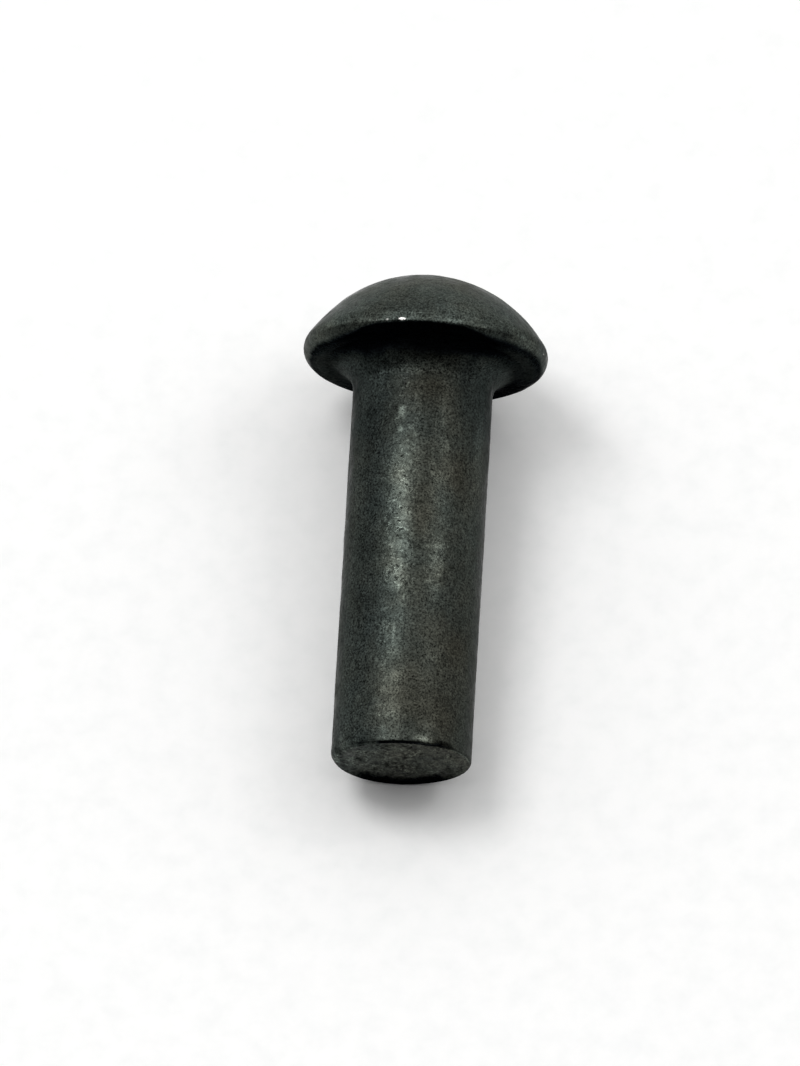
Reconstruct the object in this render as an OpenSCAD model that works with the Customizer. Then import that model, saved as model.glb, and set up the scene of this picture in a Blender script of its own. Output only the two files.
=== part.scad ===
// Solid round-head rivet of black steel, forged in one piece, lying on its side.
// It rests on the rolled rim of its head and the edge of its sheared tip.
// Millimetres: Z = 0 is the surface that it lies on, and the shank points along -Y.

/* [Head] */
// Diameter of the head, over its rolled rim
head_d = 10.5; // [9.6:0.1:12]
// Height of the head, from its bearing face to the top of the dome
head_h = 3.9; // [3:0.1:5]
// Radius of the rolled rim between the dome and the bearing face
rim_r = 0.68; // [0.3:0.02:0.9]

/* [Shank] */
// Diameter of the shank
shank_d = 6; // [5:0.1:6.4]
// Length of the shank, from the bearing face to the long side of the tip
shank_l = 17.75; // [10:0.05:40]
// Radius of the forged fillet between the shank and the bearing face
neck_r = 1.2; // [0.3:0.05:1.4]

/* [Sheared tip] */
// Radius rolled over on the edge of the tip
tip_r = 0.16; // [0.06:0.02:0.6]
// Angle that the sheared face leans off square
shear_tilt = 1.6; // [0:0.1:3]
// Turn of the face's short side round the shank, from the uppermost side towards -X
shear_turn = 90; // [0:5:180]

/* [Hidden] */
$fn = 120;

black_steel = [0.17, 0.18, 0.17];
shank_r = shank_d / 2;

// Centre of the rim's round section, as radius and height above the bearing face
rim_x = head_d / 2 - rim_r;
rim_z = rim_r;
// The dome is a sphere that passes smoothly into the rim
dome_r = pow(rim_x, 2) / (2 * (head_h - 2 * rim_r)) + head_h / 2;
dome_z = head_h - dome_r;
dome_end = atan2(rim_z - dome_z, rim_x);

// The fillet stops where the rim begins
seat_fillet_r = min(neck_r, rim_x - shank_r);

// Centre of the tip edge's round section
tip_x = shank_r - tip_r;
tip_z = tip_r - shank_l;

// Lying on its side, the rivet touches the surface at the rim and at the tip's edge:
// the surface is the outer tangent of those two round sections
rest_span = norm([rim_z - tip_z, rim_x - tip_x]);
rest_tilt = atan2(rim_x - tip_x, rim_z - tip_z) + asin((rim_r - tip_r) / rest_span);
rest_lift = rim_x * cos(rest_tilt) - rim_z * sin(rest_tilt) + rim_r;
// Reach of the dome and of the tip along Y, from the middle of the bearing face
dome_reach = dome_r + dome_z * cos(rest_tilt);
tip_reach = tip_r + tip_x * sin(rest_tilt) - tip_z * cos(rest_tilt);

// Room by which a cutting or clipping shape passes the metal
over = shank_d;

// Slice of a disc between two directions, counted anticlockwise from +X
module slice(r, from, to) {
    reach = 2 * r;
    middle = (from + to) / 2;
    intersection() {
        circle(r);
        polygon([
            [0, 0],
            reach * [cos(from), sin(from)],
            reach * [cos(middle), sin(middle)],
            reach * [cos(to), sin(to)]
        ]);
    }
}

// Half section of the head: dome, rolled rim and flat bearing face
module head_section() {
    intersection() {
        translate([0, dome_z]) slice(dome_r, dome_end, 90);
        square([head_d, head_h + over]);
    }
    translate([rim_x, rim_z]) slice(rim_r, -90, dome_end);
    polygon([[0, 0], [rim_x, 0], [rim_x, rim_z]]);
}

// Half section of the shank: neck fillet, round wall and rolled-over tip edge
module shank_section() {
    difference() {
        translate([0, -seat_fillet_r]) square([shank_r + seat_fillet_r, seat_fillet_r]);
        translate([shank_r + seat_fillet_r, -seat_fillet_r]) circle(seat_fillet_r);
    }
    translate([0, tip_z]) square([shank_r, -tip_z]);
    translate([0, -shank_l]) square([tip_x, tip_r]);
    translate([tip_x, tip_z]) slice(tip_r, -90, 0);
}

// What the shear took off: everything past a plane that leans from the tip's long side
module shear_waste() {
    width = shank_d + 2 * over;
    translate([0, 0, -shank_l])
        rotate([0, 0, -90 - shear_turn])
            translate([-shank_r, 0, 0])
                rotate([0, -shear_tilt, 0])
                    translate([-over, -width / 2, -over]) cube([width, width, over]);
}

// The rivet along Z, head up, with the middle of its bearing face at the origin
module upright_rivet() {
    difference() {
        rotate_extrude() {
            head_section();
            shank_section();
        }
        shear_waste();
    }
}

module rivet() {
    color(black_steel)
        translate([0, (tip_reach - dome_reach) / 2, rest_lift])
            rotate([rest_tilt - 90, 0, 0])
                upright_rivet();
}

rivet();
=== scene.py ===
"""Black steel rivet lying on pale paper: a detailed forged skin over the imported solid."""

import math
from types import SimpleNamespace

import bpy
import numpy as np
from mathutils import Matrix, Vector


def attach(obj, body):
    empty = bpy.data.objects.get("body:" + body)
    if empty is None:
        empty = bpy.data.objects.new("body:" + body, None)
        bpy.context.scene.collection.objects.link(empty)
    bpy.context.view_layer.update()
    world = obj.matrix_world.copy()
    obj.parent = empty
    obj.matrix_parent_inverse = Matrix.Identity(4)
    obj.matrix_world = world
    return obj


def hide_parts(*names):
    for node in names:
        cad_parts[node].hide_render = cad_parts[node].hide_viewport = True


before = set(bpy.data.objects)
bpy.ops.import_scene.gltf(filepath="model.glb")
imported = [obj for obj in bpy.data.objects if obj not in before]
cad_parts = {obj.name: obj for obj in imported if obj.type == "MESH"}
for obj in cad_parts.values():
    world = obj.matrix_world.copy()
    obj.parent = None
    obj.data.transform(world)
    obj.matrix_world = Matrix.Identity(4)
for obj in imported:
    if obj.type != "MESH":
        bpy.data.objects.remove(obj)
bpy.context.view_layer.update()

# Sizes in millimetres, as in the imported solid
HEAD_D, HEAD_H, RIM_R = 10.5, 3.9, 0.68
SHANK_D, SHANK_L, NECK_R = 6.0, 17.75, 1.2
TIP_R, SHEAR_TILT = 0.16, 1.6
SHANK_R = SHANK_D / 2
RIM_X = HEAD_D / 2 - RIM_R
DOME_R = RIM_X ** 2 / (2 * (HEAD_H - 2 * RIM_R)) + HEAD_H / 2
DOME_Z = HEAD_H - DOME_R
DOME_END = math.atan2(RIM_X, RIM_R - DOME_Z)
TIP_X, TIP_Z = SHANK_R - TIP_R, TIP_R - SHANK_L
SHEAR = math.tan(math.radians(SHEAR_TILT))

# How it lies: the rim and the tip's edge touch the paper
TILT = (math.atan2(RIM_X - TIP_X, RIM_R - TIP_Z)
        + math.asin((RIM_R - TIP_R) / math.hypot(RIM_R - TIP_Z, RIM_X - TIP_X)))
LIFT = RIM_X * math.cos(TILT) - RIM_R * math.sin(TILT) + RIM_R
DOME_REACH = DOME_R + DOME_Z * math.cos(TILT)
TIP_REACH = TIP_R + TIP_X * math.sin(TILT) - TIP_Z * math.cos(TILT)
SHIFT = (TIP_REACH - DOME_REACH) / 2

# The skin's mesh: points round the rivet, zones of its section, and the rows of each zone
AROUND = 264
DOME, RIM, SEAT, NECK, WALL, EDGE, FACE = range(7)
DOME_ROWS, RIM_ROWS, SEAT_ROWS, NECK_ROWS, EDGE_ROWS = 59, 44, 4, 22, 12
WALL_ROWS, WALL_END_ROWS, FACE_EDGE_ROWS, FACE_ROWS = 160, 24, 14, 24
# Where the wall's last rows start along the shank, and where the face's inner rows start
WALL_END, FACE_INNER = -16.6, 2.2
# Radius of the tip's edge where it is sharp, and how much more it is rolled over on the left
SHARP, ROLLED = 0.13, 0.30
# How far the middle of the dome and of the torn face lie inside the true section
DOME_SUNK, FACE_SUNK = 0.02, 0.03

# Unevenness, each as its depth, its lumps to the millimetre and its seed
FORGED = ((0.010, 0.35, 1), (0.006, 0.9, 2), (0.006, 2.3, 3), (0.004, 4.2, 4))
TORN = ((0.012, 1.3, 5), (0.020, 3.5, 6), (0.010, 7.0, 7))

# Marks on it, and painted glints and shade, each as its place (side, up, along), its reach across, its reach
# along and its strength
BROWN = [
    ((2.03, 2.21, -13.2), 1.1, 1.3, 1), ((1.76, 2.43, -16.2), 1.2, 1.2, 1), ((1.81, 2.40, -5.6), 0.6, 1.0, 1),
    ((0.34, 2.98, -1.8), 1.1, 0.9, 1), ((0.42, 2.97, -7.6), 0.5, 1.2, 0.8), ((-0.1, 3.0, -15.6), 1.1, 1.5, 0.8),
    ((-1.6, -2.5, -5.0), 1.6, 2.4, 1), ((2.2, -2.0, -11.0), 1.4, 2.2, 1), ((1.5, 2.6, 2.9), 1.6, 0.8, 0.6)]
BARE = [
    ((-1.56, 4.97, 0.45), 0.12, 0.07, 0.75), ((-0.95, 5.13, 0.46), 0.20, 0.08, 1),
    ((-2.1, 4.78, 0.45), 0.09, 0.05, 1), ((3.1, -4.2, 0.52), 0.2, 0.08, 1),
    ((-4.4, -2.8, 0.48), 0.14, 0.07, 1), ((5.05, 1.2, 0.5), 0.08, 0.05, 0.8)]
# Rubbed places and a scratch, with painted glints along the highlight streak and on the tip's burr
RUBBED_AND_GLINTS = [
    ((-0.75, 2.90, -2.91), 0.12, 0.19, 2.2), ((-0.80, 2.89, -3.71), 0.12, 0.12, 1.2),
    ((-0.563, 2.92, -12.9), 0.05, 0.42, 1.5), ((0.94, 2.85, -17.41), 0.34, 0.12, 2.8),
    ((-0.57, 2.94, -7.03), 0.14, 0.14, 0.6), ((-0.42, 2.97, -7.57), 0.14, 0.18, 0.7),
    ((-0.47, 2.96, -8.18), 0.16, 0.10, 0.6), ((-0.80, 2.89, -8.86), 0.13, 0.09, 0.7),
    ((-0.55, 2.95, -8.95), 0.13, 0.09, 0.6), ((-0.75, 2.90, -9.47), 0.10, 0.12, 0.7),
    ((-0.44, 2.97, -9.51), 0.10, 0.10, 0.6), ((-0.65, 2.93, -10.19), 0.12, 0.10, 0.7),
    ((-0.47, 2.96, -10.78), 0.13, 0.15, 0.7), ((1.03, 2.82, -8.81), 0.28, 0.08, 1.0),
    ((0.80, 2.89, -10.31), 0.09, 0.09, 1.4), ((1.05, 2.80, -9.4), 0.22, 0.60, 0.3),
    ((-0.83, 2.88, -15.37), 0.14, 0.14, 0.4), ((-0.29, 2.99, -15.30), 0.16, 0.10, 0.4),
    ((-1.63, 1.34, -17.7), 0.09, 0.3, 1.2), ((0.3, 1.0, -17.7), 0.10, 0.3, 0.9),
    ((0.9, 1.59, -17.7), 0.08, 0.3, 0.8), ((2.1, 0.1, -17.6), 0.70, 0.4, 0.35),
    ((2.57, 1.55, -4.3), 0.30, 1.2, 0.45)]
# Painted shade: dark places in the dent above the tip's edge and along the tip's edge
TIP_SHADE = [
    ((1.62, 2.52, -17.54), 0.34, 0.14, 0.95), ((2.05, 2.19, -17.50), 0.22, 0.11, 0.7),
    ((-1.75, 2.44, -17.62), 0.25, 0.08, 0.5), ((-1.50, 2.05, -17.70), 0.70, 0.35, 0.25),
    ((0.40, 2.20, -17.70), 0.50, 0.30, 0.16)]
# For pits the strength is their depth
PITS = [
    ((-0.73, 2.91, -9.30), 0.09, 0.09, 0.030), ((-0.24, 2.99, -9.25), 0.09, 0.09, 0.028),
    ((-0.83, 2.88, -9.96), 0.10, 0.10, 0.035), ((-0.60, 2.94, -10.38), 0.08, 0.08, 0.025),
    ((-2.96, 0.50, -16.49), 0.13, 0.13, 0.060), ((-2.98, 0.3, -16.2), 0.10, 0.10, 0.030),
    ((1.72, 2.46, -17.56), 0.26, 0.16, 0.11), ((2.05, 2.19, -17.54), 0.22, 0.14, 0.08)]

# Values by degrees round the rivet, from the top to the right
# Degrees of the rim's section at which the black under the rim begins: unrubbed scale and painted shade
BLACK_STARTS = ((-180, -85, -57, -25, 0, 20, 46, 64, 110, 180),
        (135, 143, 139, 119, 115, 117, 125, 131, 135, 135))
# How light the underside of the head is: unrubbed scale and painted shade, darkest in the front middle and at
# the back
UNDERSIDE_LIGHT = ((-180, -130, -105, -85, -66, -45, 40, 60, 78, 95, 116, 180),
        (0.15, 0.25, 0.45, 0.40, 0.26, 0.05, 0.05, 0.42, 0.46, 0.40, 0.10, 0.05))
# How bright the rim is: painted highlight and shade round the head
SHINE = ((-180, -80, -62, -47, -30, -14, 2, 11, 30, 45, 60, 75, 180),
         (1.0, 1.0, 1.1, 1.65, 1.3, 0.92, 1.0, 1.45, 1.28, 1.33, 1.05, 0.88, 1.0))
# How warm the steel of the shank looks
TONE = ((-180, -60, -36, -18, 6, 30, 60, 180), (0.52, 0.46, 0.42, 0.50, 0.55, 0.57, 0.53, 0.52))
PLAIN_TONE = 0.5
# How strong the fine grain is in each zone
GRAIN = (4.5, 4.8, 6.5, 7.0, 4.8, 5.0, 7.0)

# Steel colours from cool to warm, then stained, dark with scale and painted shade, and bare
COOL, NEUTRAL, WARM = (0.0345, 0.0430, 0.0400), (0.0375, 0.0440, 0.0385), (0.0415, 0.0445, 0.0365)
STAINED, SCALE, BARE_STEEL = (0.0415, 0.0420, 0.0330), (0.0335, 0.0420, 0.0520), (0.60, 0.59, 0.57)
RELIEF = 0.00006

# The photograph's framing: pixels high, pixels to the metre, and the rivet's place right of and below the middle
PHOTO_HIGH, PHOTO_SCALE, PHOTO_RIGHT, PHOTO_BELOW = 1066, 23.59e3, 12.4, 36.5
PHOTO_UP, PHOTO_ROUND, PHOTO_DISTANCE, SENSOR = 64.6, 3.26, 1.0, 36
AIM_ALONG = -9.0


def lay_down(side, up, along):
    """Row-frame metres from the rivet's own axes: across, up off the paper, and along to the head."""
    y = SHIFT + along * math.cos(TILT) - up * math.sin(TILT)
    z = LIFT + along * math.sin(TILT) + up * math.cos(TILT)
    return np.stack([side, y, z], axis=-1) / 1000


def hashed(ix, iy, iz, seed):
    """A repeatable number from 0 to 1 for each whole-number place."""
    h = (ix * 374761393 + iy * 668265263 + iz * 2147483647 + seed * 1274126177) & 0xFFFFFFFF
    h = ((h ^ (h >> 13)) * 1274126177) & 0xFFFFFFFF
    h = ((h ^ (h >> 16)) * 2246822519) & 0xFFFFFFFF
    return ((h ^ (h >> 15)) & 0xFFFFFF) / float(0xFFFFFF)


def noise(p, scale, seed):
    """Smooth noise from -1 to 1 at points p, with scale lumps to the millimetre."""
    q = p * scale + 1000.0
    i = np.floor(q).astype(np.int64)
    f = q - i
    f = f * f * f * (f * (f * 6 - 15) + 10)
    total = 0.0
    for dx in (0, 1):
        for dy in (0, 1):
            for dz in (0, 1):
                w = (np.where(dx, f[..., 0], 1 - f[..., 0]) * np.where(dy, f[..., 1], 1 - f[..., 1])
                     * np.where(dz, f[..., 2], 1 - f[..., 2]))
                total = total + w * hashed(i[..., 0] + dx, i[..., 1] + dy, i[..., 2] + dz, seed)
    return total * 2 - 1


def smooth(x, start, stop):
    """0 at start, 1 at stop, with an even slope between."""
    t = np.clip((x - start) / (stop - start), 0, 1)
    return t * t * (3 - 2 * t)


def hump(x, middle, reach):
    """1 at the middle, falling away softly within its reach."""
    return np.exp(-((x - middle) / reach) ** 2)


def spots(p, marks):
    """How much of the marks there is at each point, soft round their places."""
    total = 0.0
    for place, across, length, strength in marks:
        d = p - np.array(place)
        near = (d[..., 0] ** 2 + d[..., 1] ** 2) / across ** 2 + (d[..., 2] / length) ** 2
        total = total + strength * np.exp(-near)
    return total


def steps(start, stop, count):
    """Even steps from the start up to the stop, without the stop."""
    return np.linspace(start, stop, count, endpoint=False)


def section():
    """Rows of the half section from the dome's top to the middle of the sheared face.

    Each row is a radius, a height, the normal's two parts, the zone, and degrees of the arc that it is on.
    """
    rows = []

    def arc(cx, cz, r, angles, zone):
        for t in angles:
            rows.append((cx + r * math.sin(t), cz + r * math.cos(t), math.sin(t), math.cos(t), zone,
                         math.degrees(t)))

    arc(0, DOME_Z, DOME_R, steps(DOME_END / (DOME_ROWS + 1), DOME_END, DOME_ROWS), DOME)
    arc(RIM_X, RIM_R, RIM_R, steps(DOME_END, math.pi, RIM_ROWS), RIM)
    for x in steps(RIM_X, SHANK_R + NECK_R, SEAT_ROWS):
        rows.append((x, 0, 0, -1, SEAT, 0))
    for t in steps(0, math.pi / 2, NECK_ROWS):
        x, z = SHANK_R + NECK_R - NECK_R * math.sin(t), -NECK_R + NECK_R * math.cos(t)
        rows.append((x, z, math.sin(t), -math.cos(t), NECK, math.degrees(t)))
    for z in (*steps(-NECK_R, WALL_END, WALL_ROWS), *steps(WALL_END, SHARP - SHANK_L, WALL_END_ROWS)):
        rows.append((SHANK_R, z, 1, 0, WALL, 0))
    for t in steps(0, math.pi / 2, EDGE_ROWS):
        x, z = SHANK_R - SHARP + SHARP * math.cos(t), SHARP - SHANK_L - SHARP * math.sin(t)
        rows.append((x, z, math.cos(t), -math.sin(t), EDGE, math.degrees(t)))
    for x in (*steps(SHANK_R - SHARP, FACE_INNER, FACE_EDGE_ROWS), *steps(FACE_INNER, 0, FACE_ROWS)):
        rows.append((x, -SHANK_L, 0, -1, FACE, 0))
    return np.array(rows)


def shape_tip(rho, along, turn, end):
    """Rolls the tip's edge over, most on its left, and leaves it sharp on top."""
    sharp = smooth(turn, -50, -28) * (1 - smooth(turn, 40, 64))
    roll = SHARP + (1 - sharp) * (TIP_R - SHARP + ROLLED * hump(turn, -100, 50))
    dr, dz = rho - (SHANK_R - roll), end + roll - along
    reach = np.hypot(dr, dz)
    outside = (dr > 0) & (dz > 0) & (reach > roll)
    pull = roll / np.maximum(reach, 1e-9)
    rho = np.where(outside, SHANK_R - roll + dr * pull, rho)
    along = np.where(outside, end + roll - dz * pull, along)
    return rho, along


def lay_grid(rows):
    """The skin's points in the rivet's own axes, with where each lies on the rivet."""
    rho, z, out, ahead, zone, angle = (np.repeat(v[:, None], AROUND, axis=1) for v in rows.T)
    turns = np.arange(AROUND) / AROUND * 360
    turn = np.broadcast_to(np.where(turns > 180, turns - 360, turns), rho.shape)
    s, c = np.sin(np.radians(turn)), np.cos(np.radians(turn))
    # The shear leans: its left side is the short one
    end = -SHANK_L + (rho * s + SHANK_R) * SHEAR
    rho, along = shape_tip(rho, np.maximum(z, end), turn, end)
    return SimpleNamespace(
        rho=rho, along=along, zone=zone.astype(int), angle=angle, turn=turn, s=s, c=c,
        aside=np.abs(turn), flank=smooth(np.abs(turn), 25, 60),
        latitude=np.degrees(np.arctan2(rho, along - DOME_Z)),
        place=np.stack([rho * s, rho * c, along], axis=-1),
        normal=np.stack([out * s, out * c, ahead], axis=-1))


def forge(g):
    """Sinks the points: unevenness from forging, the torn face, the rim's land and pits."""
    p = g.place
    depth = sum(d * (1 - noise(p, scale, seed)) for d, scale, seed in FORGED)
    torn = sum(d * (1 - noise(p, scale, seed)) for d, scale, seed in TORN)
    depth = np.where(g.zone == FACE, torn * smooth(g.rho, 2.95, 2.5), depth)
    # The dome is flatter on its left shoulder
    depth = depth + 0.09 * hump(g.latitude, 50, 15) * hump(g.turn, -75, 42) * (g.zone <= RIM)
    # A narrow land runs along the front of the rim
    off, half = np.radians(g.angle - 100), np.radians(14 - 7 * g.flank)
    land = np.clip(1 - np.cos(half) / np.cos(np.clip(off, -1.5, 1.5)), 0, None)
    depth = depth + RIM_R * land * (g.zone == RIM) + spots(p, PITS)
    g.place = p - g.normal * depth[..., None]


def find_wear_and_light(g):
    """What several zones share: how the wear wanders, the painted shade under the rim, the streak and the tip's
    painted dark places.
    """
    p, turn = g.place, g.turn
    g.wander = noise(p, 0.9, 11) * 0.6 + noise(p, 2.8, 12) * 0.4
    g.fray = 3 * g.wander + 5 * g.flank * noise(p, 3.5, 17)
    g.dust, g.shine = np.interp(turn, *UNDERSIDE_LIGHT), np.interp(turn, *SHINE)
    # The black under the rim, scale and painted shade, starts at a frayed line, which is softer at both ends of
    # the front
    black_start = np.interp(turn, *BLACK_STARTS)
    soft = 24 * (hump(turn, -46, 14) + hump(turn, 38, 14))
    g.under = smooth(g.angle + g.fray, black_start - 2 - 5 * g.flank, black_start + 5 + 10 * g.flank + soft)
    # The streak on top of the shank is the key lamp's highlight, dull near the head and near the tip through
    # rougher steel and painted shade
    g.dull = 1 - smooth(g.along, -3.8, -5.0) * (1 - smooth(g.along, -9.8, -11.4))
    # It has small beads and hollows, with painted highlight and shade, and a lesser streak to its right
    second = smooth(g.along, -6.5, -8.0) * (1 - smooth(g.along, -10.3, -11.0))
    g.beaded = hump(turn, -14, 10) * (0.35 + 0.65 * (1 - g.dull)) + 0.5 * hump(turn, 18, 8) * second
    g.beaded = g.beaded * (g.zone == WALL)
    # The shank is darker left of the streak, but the neck runs out into it in a paler band
    g.darker = 1 - 0.18 * hump(turn, -40, 18)
    g.paler = 1.3 * hump(turn, -40, 17) + 0.35 * hump(turn, 50, 12)
    # Painted shade: a black crease along the tip's upper edge, and black at its foot as well
    g.crease = smooth(turn + 12 * g.wander, -36, -20) * (1 - smooth(turn + 12 * g.wander, 42, 54))
    g.low = smooth(-g.c, 0.30, 0.85)


def dome_wear_and_light(g):
    """Painted light on the dome: lightest on its upper side, and taking the rim's painted brightness near the
    rim.
    """
    upper = smooth(g.rho * g.c, 0.2, 2.0)
    wear_and_light = 1.30 + 0.70 * upper * smooth(g.latitude, 58, 34) - 0.25 * (1 - upper) * smooth(g.latitude, 58, 40)
    return wear_and_light * (1 + (g.shine - 1) * smooth(g.latitude, 40, 58))


def rim_wear_and_light(g):
    """The rim is lighter above, with a painted light line along its land, and black below in scale and painted
    shade.
    """
    # Painted highlight: a light line along the land, strongest in front, and painted shade in a notch just above
    # it
    line = 0.05 + 0.15 * hump(g.turn, -16, 9) + 0.75 * hump(g.turn, 13, 6)
    line = line + 0.3 * smooth(noise(g.place, 0.7, 14), 0, 0.5)
    notch = 0.45 - 0.36 * (hump(g.turn, -50, 16) + hump(g.turn, 48, 12))
    rim_light = 1.30 - notch * hump(g.angle, 82, 12) + line * hump(g.angle + 3 * g.wander, 105, 7)
    # At both ends of the front the painted shade under the rim thins out in a half-dark step
    half_dark = 0.72 * hump(g.turn, -46, 14) + 0.50 * hump(g.turn, 44, 9)
    rim_light = rim_light * g.shine * (1 - half_dark * smooth(g.angle + g.fray, 98, 112))
    black = g.dust * (0.50 + 0.50 * smooth(g.angle, 145, 178))
    return rim_light + (black - rim_light) * g.under


def neck_wear_and_shade(g):
    """The fillet has black scale and painted shade at the head, and is lighter towards the shank, sooner on its
    sides.
    """
    front = 0.08 + 0.66 * smooth(g.angle + 14 * g.wander, 24, 66) - 0.18 * smooth(g.angle, 72, 90)
    side = g.dust + (1.1 - g.dust) * smooth(g.angle + 8 * g.wander, 12, 42) - 0.44 * smooth(g.angle, 50, 90)
    wear_and_light = front + (side - front) * smooth(g.aside, 42, 78)
    return wear_and_light * g.darker * (1 + g.paler * smooth(g.angle + 8 * g.wander, 74, 86))


def wall_wear_and_shade(g):
    """The shank is lighter away from the head and darker at the tip's edge, with painted shade where its streak
    ends and on its right.
    """
    along, turn = g.along, g.turn
    wear_and_light = 0.56 + 0.30 * smooth(along + 0.6 * g.wander, -1.2, -3.6)
    wear_and_light = wear_and_light + 0.10 * smooth(along + 0.25 * g.wander, -1.15, -1.35) * hump(turn, 2, 25)
    wear_and_light = wear_and_light + 0.12 * smooth(along + 0.6 * g.wander, -4.0, -6.0)
    # Painted shade dims the highlight streak near the head and near the tip, and the steel right of it
    wear_and_light = wear_and_light * (1 - (0.26 + 0.14 * smooth(along, -6, -4)) * g.dull * hump(turn, -16, 13))
    wear_and_light = wear_and_light * (1 - 0.20 * hump(turn, 14, 14)) * g.darker
    wear_and_light = wear_and_light * (1 + 0.30 * smooth(along, -11.5, -14.5) * hump(turn, -46, 18))
    wear_and_light = wear_and_light * (1 + g.paler * smooth(along, -2.9, -1.3))
    return wear_and_light * (1 - 0.25 * smooth(along, -17.35, -17.6))


def edge_shade_and_highlight(g):
    """The tip's edge has painted shade, black in the crease and underneath, and a painted highlight on the
    right.
    """
    wear_and_light = (1 - 0.95 * g.crease) * (1 - 0.88 * g.low)
    return wear_and_light + 0.9 * hump(g.turn, 72, 22) * hump(g.angle, 60, 30)


def face_grain_and_shade(g):
    """The torn face is grainy, with painted shade that is black at its foot and under the crease."""
    foot = g.low * smooth(g.rho + 0.20 * g.wander, 1.6, 2.35)
    foot = np.maximum(foot, g.crease * smooth(g.rho, 2.74, 2.87))
    flat = g.place * (1, 0.36, 1)
    grain = 1.05 + 0.20 * noise(flat, 4.5, 21) + 0.25 * noise(flat, 7.0, 23) + 0.75 * noise(flat, 11.0, 22)
    return 1.3 * (1 - 0.94 * foot) * np.maximum(grain, 0.12)


def all_wear_and_light(g):
    """How light the steel is, from rubbed-off scale and from painted light and shade: 0 is black, 1 is grey, and
    more is lighter.
    """
    p = g.place
    wear_and_light = np.choose(g.zone, (dome_wear_and_light(g), rim_wear_and_light(g), g.dust + 0.04, neck_wear_and_shade(g), wall_wear_and_shade(g),
                              edge_shade_and_highlight(g), face_grain_and_shade(g)))
    # The left of the tip is smeared, so no clear line parts its wall from its face
    smear = hump(g.turn, -72, 38) * smooth(g.along, -16.9, -17.35) * smooth(g.rho, 0.9, 2.2)
    wear_and_light = wear_and_light * (1 + smear * (0.7 * noise(p, 4.0, 31) + 0.6 * noise(p, 9.0, 32)))
    # Painted shade at the tip's dent and edge, and rubbed places with painted glints
    wear_and_light = wear_and_light * (1 + 0.18 * g.wander) * (1 - np.clip(spots(p, TIP_SHADE), 0, 0.9)) + spots(p, RUBBED_AND_GLINTS)
    return wear_and_light * (1 - 0.13 * g.beaded)


def roughness(g):
    """Rougher on the torn face and in the corners under the head, smoother along the streak."""
    p = g.place
    rough = 0.40 + 0.04 * noise(p, 0.5, 13) + 0.09 * noise(p, 1.9, 15) + 0.06 * noise(p, 4.0, 16)
    rough = rough + 0.10 * (g.zone == FACE) + 0.15 * g.under * (g.zone == RIM) + 0.18 * (g.zone == SEAT)
    rough = rough + 0.24 * (1 - smooth(g.angle, 55, 90)) * (g.zone == NECK)
    return rough - 0.08 * (1 - g.dull) * (g.zone == WALL)


def coarseness(g):
    """How strong the fine grain is: more in the painted shade under the rim and left of the streak, less in the
    beads.
    """
    coarse = np.choose(g.zone, GRAIN) + 1.4 * g.under * (g.zone == RIM)
    return coarse + 1.4 * smooth(g.turn, -24, -40) * (g.zone == WALL) - 2.4 * g.beaded


def warmth(g):
    """How warm the steel is: bluer under the head and on both sides of the neck."""
    tone = np.where((g.zone >= NECK) & (g.zone <= EDGE), np.interp(g.turn, *TONE), PLAIN_TONE)
    cool = np.where(g.zone == NECK, 1, smooth(g.along, -5.0, -2.0) * (g.zone == WALL))
    cool = cool * smooth(g.aside, 22, 42)
    return tone - 0.2 * (cool + (g.zone == SEAT) + g.under * (g.zone == RIM))


def stains(g):
    """Brown places, and a brown tinge over the right of the torn face."""
    tinge = 0.5 * smooth(g.rho * g.s, -1.2, -0.2) * (g.zone == FACE)
    return np.clip(spots(g.place, BROWN) + 0.25 * g.wander + tinge, 0, 1)


def skin_faces(count):
    """Faces between the rows, and a fan round each of the two middle points that come last."""
    faces = []
    for r in range(count - 1):
        a, b = r * AROUND, (r + 1) * AROUND
        for k in range(AROUND):
            n = (k + 1) % AROUND
            faces.append((a + k, b + k, b + n, a + n))
    first, last, base = count * AROUND, count * AROUND + 1, (count - 1) * AROUND
    for k in range(AROUND):
        n = (k + 1) % AROUND
        faces.append((first, k, n))
        faces.append((last, base + n, base + k))
    return faces


def build_skin():
    """The rivet's surface as one closed mesh with forging unevenness, pits, a sheared end, and wear with painted
    light and shade.
    """
    rows = section()
    g = lay_grid(rows)
    forge(g)
    find_wear_and_light(g)
    fields = {"wear_and_light": all_wear_and_light(g), "rough": roughness(g), "coarse": coarseness(g), "beaded": g.beaded,
              "tone": warmth(g), "stain": stains(g), "bare": np.clip(1.6 * spots(g.place, BARE) - 0.3, 0, 1)}

    dome_middle = (0, 0, HEAD_H - DOME_SUNK)
    face_middle = (0, 0, -SHANK_L + SHANK_R * SHEAR + FACE_SUNK)
    own = np.vstack([g.place.reshape(-1, 3), dome_middle, face_middle])
    mesh = bpy.data.meshes.new("rivet_skin")
    mesh.from_pydata(lay_down(*own.T).tolist(), [], skin_faces(len(rows)))
    mesh.update()
    mesh.polygons.foreach_set("use_smooth", np.ones(len(mesh.polygons), dtype=bool))
    held = mesh.attributes.new("own_mm", "FLOAT_VECTOR", "POINT")
    held.data.foreach_set("vector", own.astype(np.float32).ravel())
    for name, field in fields.items():
        field = np.r_[field.ravel(), field[0].mean(), field[-1].mean()]
        held = mesh.attributes.new(name, "FLOAT", "POINT")
        held.data.foreach_set("value", field.astype(np.float32))
    lay_flat(mesh, rows)
    obj = bpy.data.objects.new("rivet_skin", mesh)
    bpy.context.scene.collection.objects.link(obj)
    return obj


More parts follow.
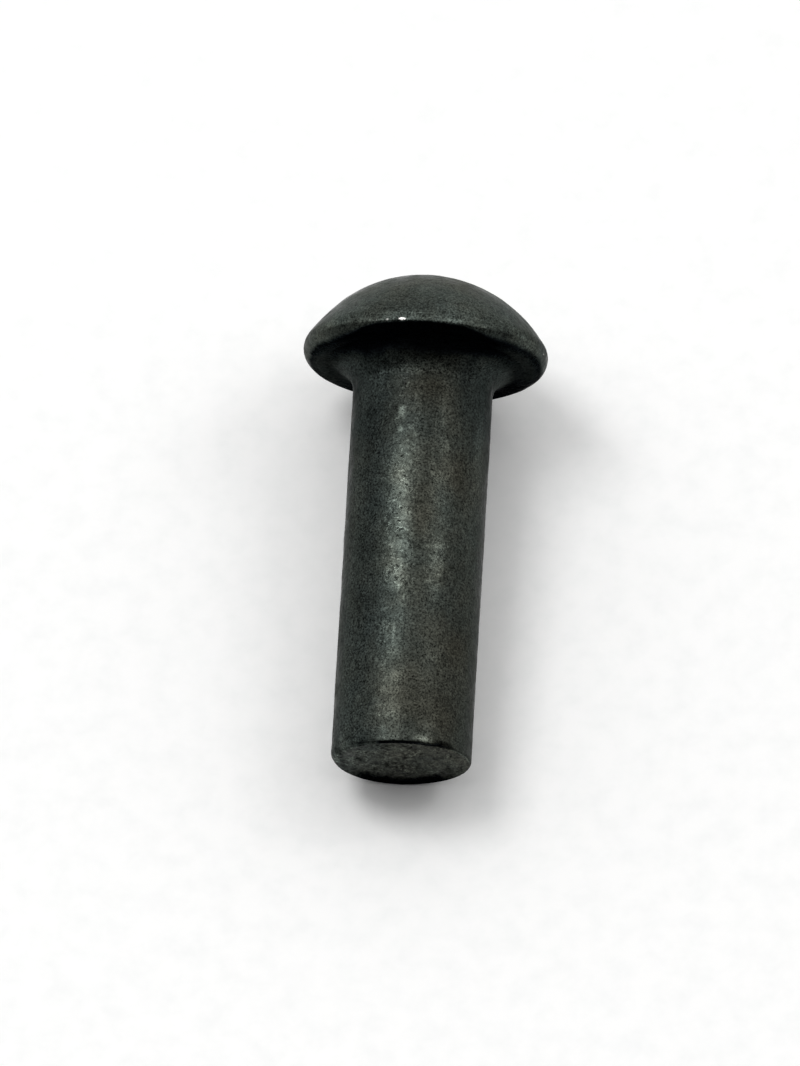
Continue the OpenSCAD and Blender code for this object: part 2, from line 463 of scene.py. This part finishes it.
def lay_flat(mesh, rows):
    """A flat map of the skin for baking: the shank as a top and a lower strip, the head and the end as discs."""
    # Millimetres: the square map's side, the gap between islands and the top strip's width
    side, gap, wide = 28.5, 0.15, 12.04
    end_scale = 1.55
    arc = rows[0, 0] + np.r_[0, np.cumsum(np.hypot(np.diff(rows[:, 0]), np.diff(rows[:, 1])))]
    neck, face = (int(np.argmax(rows[:, 4] == zone)) for zone in (NECK, FACE))
    length, head_r = arc[face] - arc[neck], arc[neck]
    end_r = end_scale * rows[face, 0]
    head_at = (2 * gap + wide + head_r, gap + head_r)
    end_at = (2 * gap + length + end_r, 2 * gap + length + end_r)

    r, k = (v.ravel() for v in np.meshgrid(np.arange(len(rows) - 1), np.arange(AROUND), indexing="ij"))
    row = np.stack([r, r + 1, r + 1, r], axis=1)
    turn = np.stack([k, k, k + 1, k + 1], axis=1) * (360 / AROUND)
    below = turn.mean(axis=1) - 180
    on_top = (np.abs(below) > 180 - wide / (2 * math.pi * SHANK_R) * 180)[:, None]
    from_top = np.where(below[:, None] > 0, turn - 360, turn)
    down = arc[row] - arc[neck]
    lower_y = 2 * gap + length + math.pi * SHANK_R - wide / 2
    x = np.where(on_top, gap + wide / 2 - np.radians(from_top) * SHANK_R, gap + down)
    y = np.where(on_top, gap + down, lower_y + np.radians(turn - 180) * SHANK_R)
    # The head is mirrored, so that every island is wound the same way
    head_disc = (r < neck, head_at, arc[row], -1)
    end_disc = (r >= face, end_at, rows[row, 0] * end_scale, 1)
    for part, (cx, cy), reach, way in (head_disc, end_disc):
        x = np.where(part[:, None], cx + way * reach * np.sin(np.radians(turn)), x)
        y = np.where(part[:, None], cy + reach * np.cos(np.radians(turn)), y)

    a, b = (np.radians(np.arange(AROUND) + step) * (360 / AROUND) for step in (0, 1))
    (cx, cy), (ex, ey), small, last = head_at, end_at, arc[0], rows[-1, 0] * end_scale
    fans = np.stack([
        np.full(AROUND, cx), np.full(AROUND, cy), cx - small * np.sin(a), cy + small * np.cos(a),
        cx - small * np.sin(b), cy + small * np.cos(b), np.full(AROUND, ex), np.full(AROUND, ey),
        ex + last * np.sin(b), ey + last * np.cos(b), ex + last * np.sin(a), ey + last * np.cos(a)], axis=1)
    places = np.vstack([np.stack([x, y], axis=-1).reshape(-1, 2), fans.reshape(-1, 2)])
    flat = mesh.uv_layers.new(name="OFBake")
    flat.data.foreach_set("uv", (places / side).astype(np.float32).ravel())


class Nodes:
    """Short calls for making and joining shader nodes."""

    def __init__(self, tree):
        self.tree = tree
        tree.nodes.clear()

    def add(self, kind, **values):
        node = self.tree.nodes.new(kind)
        for key, value in values.items():
            if hasattr(node, key):
                setattr(node, key, value)
            else:
                node.inputs[key.replace("_", " ")].default_value = value
        return node

    def join(self, a, b):
        self.tree.links.new(a, b)

    def held(self, name, output="Fac"):
        return self.add("ShaderNodeAttribute", attribute_name=name).outputs[output]

    def grain(self, vector, scale, detail, roughness=0.55):
        node = self.add("ShaderNodeTexNoise", Scale=scale, Detail=detail, Roughness=roughness)
        self.join(vector, node.inputs["Vector"])
        return node.outputs["Fac"]

    def span(self, source, low, high, to_low, to_high):
        node = self.add("ShaderNodeMapRange", From_Min=low, From_Max=high, To_Min=to_low, To_Max=to_high)
        self.join(source, node.inputs["Value"])
        return node.outputs["Result"]

    def math(self, operation, *sources):
        node = self.add("ShaderNodeMath", operation=operation)
        for socket, source in zip(node.inputs, sources):
            if isinstance(source, (int, float)):
                socket.default_value = source
            else:
                self.join(source, socket)
        return node.outputs["Value"]

    def mix(self, factor, a, b):
        node = self.add("ShaderNodeMix", data_type="RGBA")
        self.join(factor, node.inputs[0])
        for socket, source in ((node.inputs[6], a), (node.inputs[7], b)):
            if isinstance(source, tuple):
                socket.default_value = (*source, 1)
            else:
                self.join(source, socket)
        return node.outputs[2]

    def stretched(self, vector, by):
        node = self.add("ShaderNodeVectorMath", operation="MULTIPLY")
        self.join(vector, node.inputs[0])
        node.inputs[1].default_value = by
        return node.outputs["Vector"]

    def scaled(self, vector, by):
        node = self.add("ShaderNodeVectorMath", operation="SCALE")
        self.join(vector, node.inputs[0])
        self.join(by, node.inputs["Scale"])
        return node.outputs["Vector"]

    def ramp(self, source, *stops):
        node = self.tree.nodes.new("ShaderNodeValToRGB")
        marks = node.color_ramp.elements
        while len(marks) < len(stops):
            marks.new(0.5)
        for mark, (place, colour) in zip(marks, stops):
            mark.position = place
            mark.color = (*colour, 1)
        self.join(source, node.inputs["Fac"])
        return node.outputs["Color"]


def black_steel():
    """Blackened steel: scale and painted shade in the corners, rubbed grey with painted light and shade
    elsewhere, brown stains and bare nicks.
    """
    mat = bpy.data.materials.new("black_steel")
    mat.use_nodes = True
    n = Nodes(mat.node_tree)
    out = n.add("ShaderNodeOutputMaterial")
    steel = n.add("ShaderNodeBsdfPrincipled", Metallic=1.0)
    n.join(steel.outputs["BSDF"], out.inputs["Surface"])

    # Grain at several scales, drawn out along the shank, and ripples away from the head
    own = n.held("own_mm", "Vector")
    patches = n.grain(own, 0.45, 3.0)
    lumps = n.grain(own, 3.0, 1.5, 0.5)
    specks = n.grain(own, 12.0, 2.0, 0.8)
    drawn = n.grain(n.stretched(own, (6.0, 6.0, 0.16)), 1.0, 2.0)
    ripple = n.grain(n.stretched(own, (2.2, 2.2, 4.4)), 1.0, 0.5)
    split = n.add("ShaderNodeSeparateXYZ")
    n.join(own, split.inputs["Vector"])
    ripple = n.math("MULTIPLY", ripple, n.span(split.outputs["Z"], -1.0, -3.0, 0.0, 1.0))

    # Beads and hollows along the streak: bumps, with painted highlight on the beads and painted shade in the
    # hollows
    beaded = n.held("beaded")
    beads = n.span(n.grain(n.stretched(own, (1.0, 1.0, 1.6)), 4.2, 2.0, 0.65), 0.54, 0.64, 0.0, 1.0)
    beads = n.math("MULTIPLY", beads, beaded)
    hollows = n.span(n.grain(n.stretched(own, (1.0, 1.0, 1.3)), 5.0, 1.0), 0.35, 0.26, 0.0, 1.0)
    hollows = n.math("MULTIPLY", hollows, beaded)

    # Colour: the hue by warmth, stains and scale, times the shade by wear with its painted light and shade, and
    # by grain, with bare nicks on top
    wear_and_light = n.held("wear_and_light")
    n.join(n.span(wear_and_light, 0.1, 1.0, 0.38, 0.58), steel.inputs["Specular Tint"])
    warm = n.math("MULTIPLY_ADD", n.math("SUBTRACT", patches, 0.5), 0.5, n.held("tone"))
    hue = n.ramp(warm, (0.35, COOL), (0.5, NEUTRAL), (0.65, WARM))
    hue = n.mix(n.held("stain"), hue, STAINED)
    hue = n.mix(n.span(wear_and_light, 0.05, 0.42, 1.0, 0.0), hue, SCALE)
    shade = n.math("MULTIPLY_ADD", n.math("SUBTRACT", specks, 0.5), n.held("coarse"), 0.98)
    shade = n.math("MULTIPLY", n.math("MULTIPLY_ADD", beads, 1.4, wear_and_light), n.math("MAXIMUM", shade, 0.05))
    shade = n.math("MULTIPLY", shade, n.math("MULTIPLY_ADD", hollows, -0.75, 1.0))
    shade = n.math("MULTIPLY", shade, n.span(lumps, 0.3, 0.7, 0.80, 1.12))
    shade = n.math("MULTIPLY", shade, n.span(drawn, 0.3, 0.7, 0.92, 1.08))
    bare = n.math("MULTIPLY", n.held("bare"), n.span(specks, 0.3, 0.7, 0.5, 1.5))
    bare = n.span(bare, 0.35, 0.65, 0.0, 1.0)
    n.join(n.mix(bare, n.scaled(hue, shade), BARE_STEEL), steel.inputs["Base Color"])

    rough = n.math("ADD", n.held("rough"), n.span(lumps, 0.3, 0.7, -0.07, 0.07))
    n.join(n.math("SUBTRACT", rough, n.math("MULTIPLY", bare, 0.1)), steel.inputs["Roughness"])

    height = n.math("MULTIPLY_ADD", lumps, 0.5, n.math("MULTIPLY", specks, 0.10))
    for layer, share in ((ripple, 0.25), (drawn, 0.06), (beads, 0.10), (hollows, -0.20)):
        height = n.math("MULTIPLY_ADD", layer, share, height)
    bump = n.add("ShaderNodeBump", Strength=1.0, Distance=RELIEF)
    n.join(height, bump.inputs["Height"])
    n.join(bump.outputs["Normal"], steel.inputs["Normal"])
    return mat


def paper():
    """Pale matt paper with a faint grain."""
    mat = bpy.data.materials.new("paper")
    mat.use_nodes = True
    n = Nodes(mat.node_tree)
    out = n.add("ShaderNodeOutputMaterial")
    sheet = n.add("ShaderNodeBsdfPrincipled", Roughness=0.9)
    sheet.inputs["Specular IOR Level"].default_value = 0.1
    n.join(sheet.outputs["BSDF"], out.inputs["Surface"])
    place = n.add("ShaderNodeTexCoord").outputs["Object"]
    fibres = n.grain(place, 900.0, 3.0)
    pale = n.ramp(fibres, (0.3, (0.925, 0.93, 0.925)), (0.6, (0.965, 0.965, 0.96)))
    n.join(pale, sheet.inputs["Base Color"])
    return mat


def floor():
    """A plain sheet of paper, wide enough to fill every view."""
    half = 1.5
    corners = [(-half, -half, 0), (half, -half, 0), (half, half, 0), (-half, half, 0)]
    mesh = bpy.data.meshes.new("paper_floor")
    mesh.from_pydata(corners, [], [(0, 1, 2, 3)])
    obj = bpy.data.objects.new("paper_floor", mesh)
    mesh.materials.append(paper())
    bpy.context.scene.collection.objects.link(obj)


def softbox(name, place, size, watts):
    """A rectangular lamp that faces the rivet."""
    data = bpy.data.lights.new(name, "AREA")
    data.shape = "RECTANGLE"
    data.size, data.size_y = size
    data.energy = watts
    obj = bpy.data.objects.new(name, data)
    obj.location = place
    obj.rotation_mode = "QUATERNION"
    obj.rotation_quaternion = (-Vector(place)).to_track_quat("-Z", "Y")
    obj.visible_camera = False
    bpy.context.scene.collection.objects.link(obj)


def lights():
    """A soft key from the left, a weak fill, and a room that is dark low down in front."""
    softbox("key", (-0.20, 0.10, 0.455), (0.15, 0.22), 0.84)
    softbox("fill", (0.29, 0.13, 0.39), (0.13, 0.16), 0.23)
    world = bpy.data.worlds.new("room")
    bpy.context.scene.world = world
    world.use_nodes = True
    n = Nodes(world.node_tree)
    out = n.add("ShaderNodeOutputWorld")
    back = n.add("ShaderNodeBackground", Strength=1.0)
    n.join(back.outputs["Background"], out.inputs["Surface"])
    way = n.add("ShaderNodeTexCoord").outputs["Generated"]
    height = n.add("ShaderNodeSeparateXYZ")
    n.join(way, height.inputs["Vector"])
    pale = n.span(height.outputs["Z"], 0.0, 1.0, 0.62, 1.24)
    front = n.add("ShaderNodeVectorMath", operation="DOT_PRODUCT")
    front.inputs[1].default_value = (0.0, 0.914, 0.407)
    n.join(way, front.inputs[0])
    dark = n.add("ShaderNodeMapRange", interpolation_type="SMOOTHSTEP", From_Min=0.0, From_Max=0.18,
                 To_Min=0.05, To_Max=1.0)
    n.join(front.outputs["Value"], dark.inputs["Value"])
    n.join(n.math("MULTIPLY", pale, dark.outputs["Result"]), back.inputs["Color"])


def camera():
    """Long lens from the tip's side, high up, framed as the photograph is."""
    up, turn = math.radians(PHOTO_UP), math.radians(PHOTO_ROUND)
    back = Vector((math.sin(turn) * math.cos(up), -math.cos(turn) * math.cos(up), math.sin(up)))
    right = Vector((math.cos(turn), math.sin(turn), 0))
    above = back.cross(right)
    aim = Vector(lay_down(np.array(0.0), np.array(0.0), np.array(AIM_ALONG)))
    data = bpy.data.cameras.new("camera")
    data.sensor_width = SENSOR
    data.lens = SENSOR * PHOTO_DISTANCE / (PHOTO_HIGH / PHOTO_SCALE)
    data.clip_start, data.clip_end = 0.01, 10
    obj = bpy.data.objects.new("camera", data)
    obj.location = (aim + back * PHOTO_DISTANCE - right * (PHOTO_RIGHT / PHOTO_SCALE)
                    + above * (PHOTO_BELOW / PHOTO_SCALE))
    obj.rotation_mode = "QUATERNION"
    obj.rotation_quaternion = Matrix((right, above, back)).transposed().to_quaternion()
    bpy.context.scene.collection.objects.link(obj)
    bpy.context.scene.camera = obj


skin = build_skin()
skin.data.materials.append(black_steel())
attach(skin, "root")
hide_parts("rivet")
floor()
lights()
camera()
bpy.context.scene.view_settings.view_transform = "Standard"
